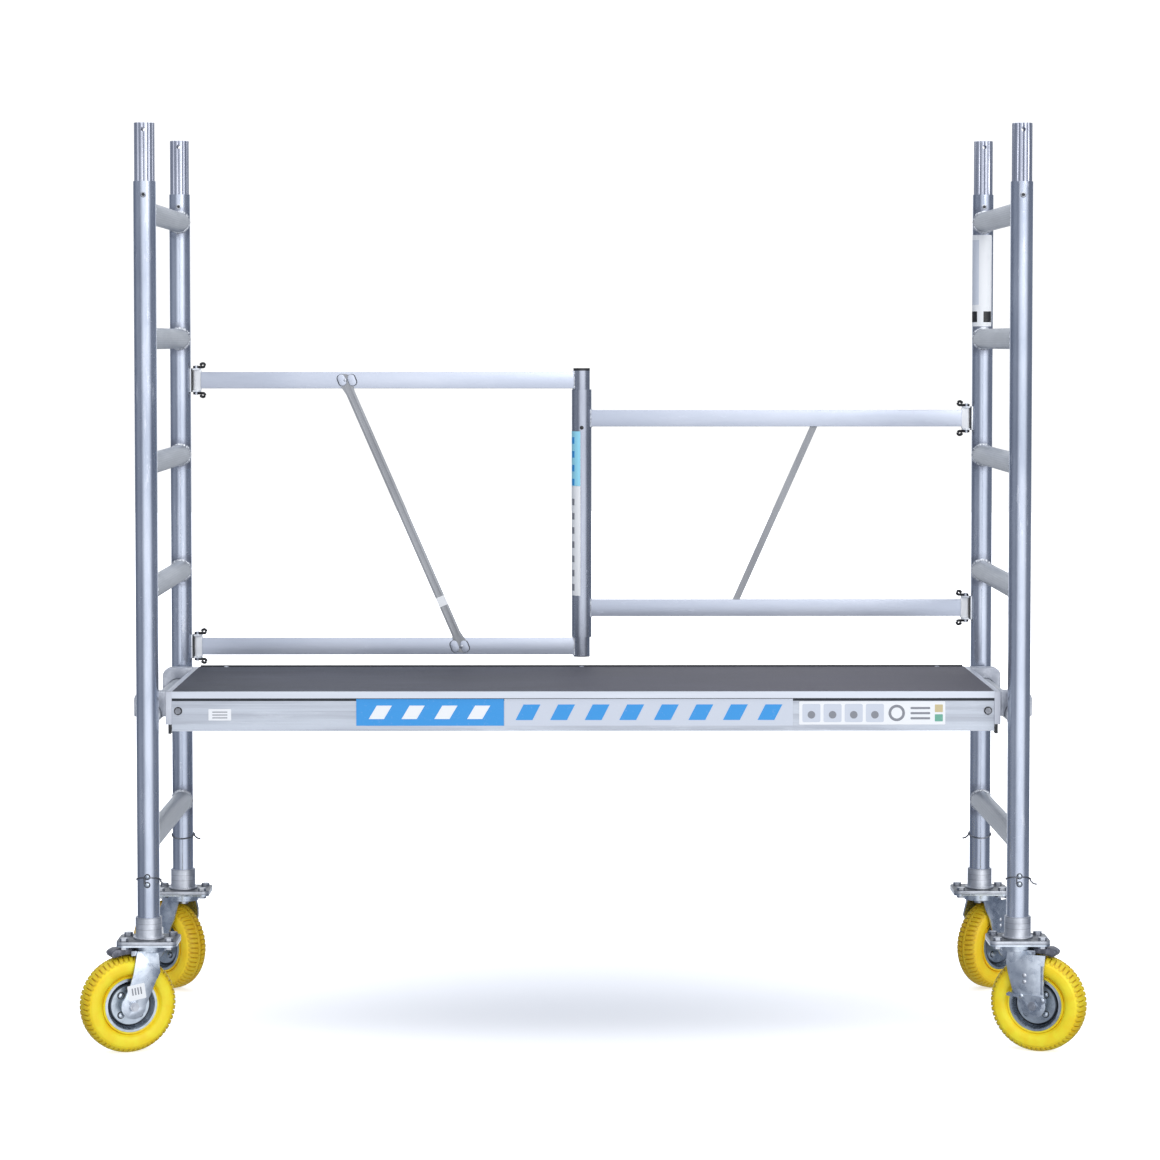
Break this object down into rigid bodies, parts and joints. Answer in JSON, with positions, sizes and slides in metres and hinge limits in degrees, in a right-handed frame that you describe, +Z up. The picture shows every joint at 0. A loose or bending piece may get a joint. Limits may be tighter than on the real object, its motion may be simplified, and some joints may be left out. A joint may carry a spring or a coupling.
{
  "type": "mobile tower scaffold",
  "caption": "Folding mobile room scaffold with two ladder frames, a hook-on platform, a folding rear guard frame and swivel casters with brakes.",
  "frame": {"origin": "on the floor, midway between the four stiles", "axes": "+X to the right along the platform, +Y to the rear where the guard frame is, +Z up"},
  "size_m": [2.24, 0.9072, 2.063],
  "materials": {
    "aluminium_tube": "extruded, satin, lightly scuffed",
    "aluminium_profile": "extruded, bright satin",
    "cast_aluminium": "sand cast, matte",
    "zinc_steel": "bright zinc plated",
    "bolt_steel": "zinc plated fasteners",
    "spring_steel": "black spring wire",
    "deck_plywood": "dark phenolic film, anti-slip",
    "black_plastic": "moulded",
    "white_nylon": "moulded, smooth",
    "pedal_steel": "dark grey coated",
    "yellow_tyre": "solid foamed polyurethane, satin"
  },
  "bodies": {
    "frame": {"left_front_stile": "aluminium_tube", "left_rear_stile": "aluminium_tube", "right_front_stile": "aluminium_tube", "right_rear_stile": "aluminium_tube", "left_rungs": "aluminium_tube", "right_rungs": "aluminium_tube", "spigots": "aluminium_tube", "spigot_rivets": "bolt_steel", "caster_sockets": "cast_aluminium", "caster_plates": "zinc_steel", "king_pins": "bolt_steel", "plate_bolts": "bolt_steel", "lock_clips": "bolt_steel", "left_hinge_brackets": "zinc_steel", "right_hinge_brackets": "zinc_steel", "left_hinge_pins": "bolt_steel", "left_hinge_clips": "spring_steel"},
    "platform": {"deck_board": "deck_plywood", "front_beam": "aluminium_profile", "rear_beam": "aluminium_profile", "end_members": "aluminium_profile", "platform_claws": "cast_aluminium", "cross_members": "aluminium_profile", "beam_bolts": "bolt_steel", "end_stops": "black_plastic"},
    "guard_left": {"left_top_rail": "aluminium_profile", "left_bottom_rail": "aluminium_profile", "inner_post": "aluminium_tube", "post_caps": "black_plastic", "left_brace": "aluminium_profile", "left_knuckles": "white_nylon"},
    "guard_right": {"right_top_rail": "aluminium_profile", "right_bottom_rail": "aluminium_profile", "outer_post": "aluminium_tube", "right_brace": "aluminium_profile", "right_knuckles": "white_nylon", "right_hinge_pins": "bolt_steel", "right_hinge_clips": "spring_steel"},
    "front_left_swivel": {"front_left_fork": "zinc_steel", "front_left_caster_pins": "bolt_steel"},
    "front_left_wheel": {"front_left_rim": "zinc_steel", "front_left_tyre": "yellow_tyre"},
    "front_left_brake": {"front_left_brake_pedal": "pedal_steel"},
    "front_right_swivel": {"front_right_fork": "zinc_steel", "front_right_caster_pins": "bolt_steel"},
    "front_right_wheel": {"front_right_rim": "zinc_steel", "front_right_tyre": "yellow_tyre"},
    "front_right_brake": {"front_right_brake_pedal": "pedal_steel"},
    "rear_right_swivel": {"rear_right_fork": "zinc_steel", "rear_right_caster_pins": "bolt_steel"},
    "rear_right_wheel": {"rear_right_rim": "zinc_steel", "rear_right_tyre": "yellow_tyre"},
    "rear_right_brake": {"rear_right_brake_pedal": "pedal_steel"},
    "rear_left_swivel": {"rear_left_fork": "zinc_steel", "rear_left_caster_pins": "bolt_steel"},
    "rear_left_wheel": {"rear_left_rim": "zinc_steel", "rear_left_tyre": "yellow_tyre"},
    "rear_left_brake": {"rear_left_brake_pedal": "pedal_steel"}
  },
  "joints": [
    {"name": "platform_lift", "type": "slide", "parent": "frame", "child": "platform", "axis": [0, 0, 1], "range_m": [0, 0.15]},
    {"name": "guard_fold", "type": "hinge", "parent": "frame", "child": "guard_left", "pos_m": [-0.932, 0.35, 1.15], "axis": [0, 0, 1], "range_deg": [-86, 0]},
    {"name": "guard_centre", "type": "hinge", "parent": "guard_left", "child": "guard_right", "pos_m": [0, 0.35, 1.15], "axis": [0, 0, 1], "range_deg": [0, 172]},
    {"name": "front_left_swivel_turn", "type": "hinge", "parent": "frame", "child": "front_left_swivel", "pos_m": [-0.97, -0.35, 0.226], "axis": [0, 0, 1], "continuous": true},
    {"name": "front_left_wheel_spin", "type": "hinge", "parent": "front_left_swivel", "child": "front_left_wheel", "pos_m": [-1.01531, -0.37113, 0.108], "axis": [0.4226, -0.9063, 0], "continuous": true},
    {"name": "front_left_brake_press", "type": "hinge", "parent": "front_left_swivel", "child": "front_left_brake", "pos_m": [-1.00988, -0.3686, 0.222], "axis": [0.4226, -0.9063, 0], "range_deg": [0, 4], "stiffness_Nm_per_rad": 6, "springref_deg": -5.73},
    {"name": "front_right_swivel_turn", "type": "hinge", "parent": "frame", "child": "front_right_swivel", "pos_m": [0.97, -0.35, 0.226], "axis": [0, 0, 1], "continuous": true},
    {"name": "front_right_wheel_spin", "type": "hinge", "parent": "front_right_swivel", "child": "front_right_wheel", "pos_m": [1.01531, -0.37113, 0.108], "axis": [0.4226, 0.9063, 0], "continuous": true},
    {"name": "front_right_brake_press", "type": "hinge", "parent": "front_right_swivel", "child": "front_right_brake", "pos_m": [1.00988, -0.3686, 0.222], "axis": [0.4226, 0.9063, 0], "range_deg": [0, 4], "stiffness_Nm_per_rad": 6, "springref_deg": -5.73},
    {"name": "rear_right_swivel_turn", "type": "hinge", "parent": "frame", "child": "rear_right_swivel", "pos_m": [0.97, 0.35, 0.226], "axis": [0, 0, 1], "continuous": true},
    {"name": "rear_right_wheel_spin", "type": "hinge", "parent": "rear_right_swivel", "child": "rear_right_wheel", "pos_m": [1.0083, 0.38214, 0.108], "axis": [-0.6428, 0.766, 0], "continuous": true},
    {"name": "rear_right_brake_press", "type": "hinge", "parent": "rear_right_swivel", "child": "rear_right_brake", "pos_m": [1.00371, 0.37828, 0.222], "axis": [-0.6428, 0.766, 0], "range_deg": [0, 4], "stiffness_Nm_per_rad": 6, "springref_deg": -5.73},
    {"name": "rear_left_swivel_turn", "type": "hinge", "parent": "frame", "child": "rear_left_swivel", "pos_m": [-0.97, 0.35, 0.226], "axis": [0, 0, 1], "continuous": true},
    {"name": "rear_left_wheel_spin", "type": "hinge", "parent": "rear_left_swivel", "child": "rear_left_wheel", "pos_m": [-1.0083, 0.38214, 0.108], "axis": [-0.6428, -0.766, 0], "continuous": true},
    {"name": "rear_left_brake_press", "type": "hinge", "parent": "rear_left_swivel", "child": "rear_left_brake", "pos_m": [-1.00371, 0.37828, 0.222], "axis": [-0.6428, -0.766, 0], "range_deg": [0, 4], "stiffness_Nm_per_rad": 6, "springref_deg": -5.73}
  ],
  "couplings": [
    {"joint": "guard_centre", "follows": "guard_fold", "ratio": -2}
  ]
}
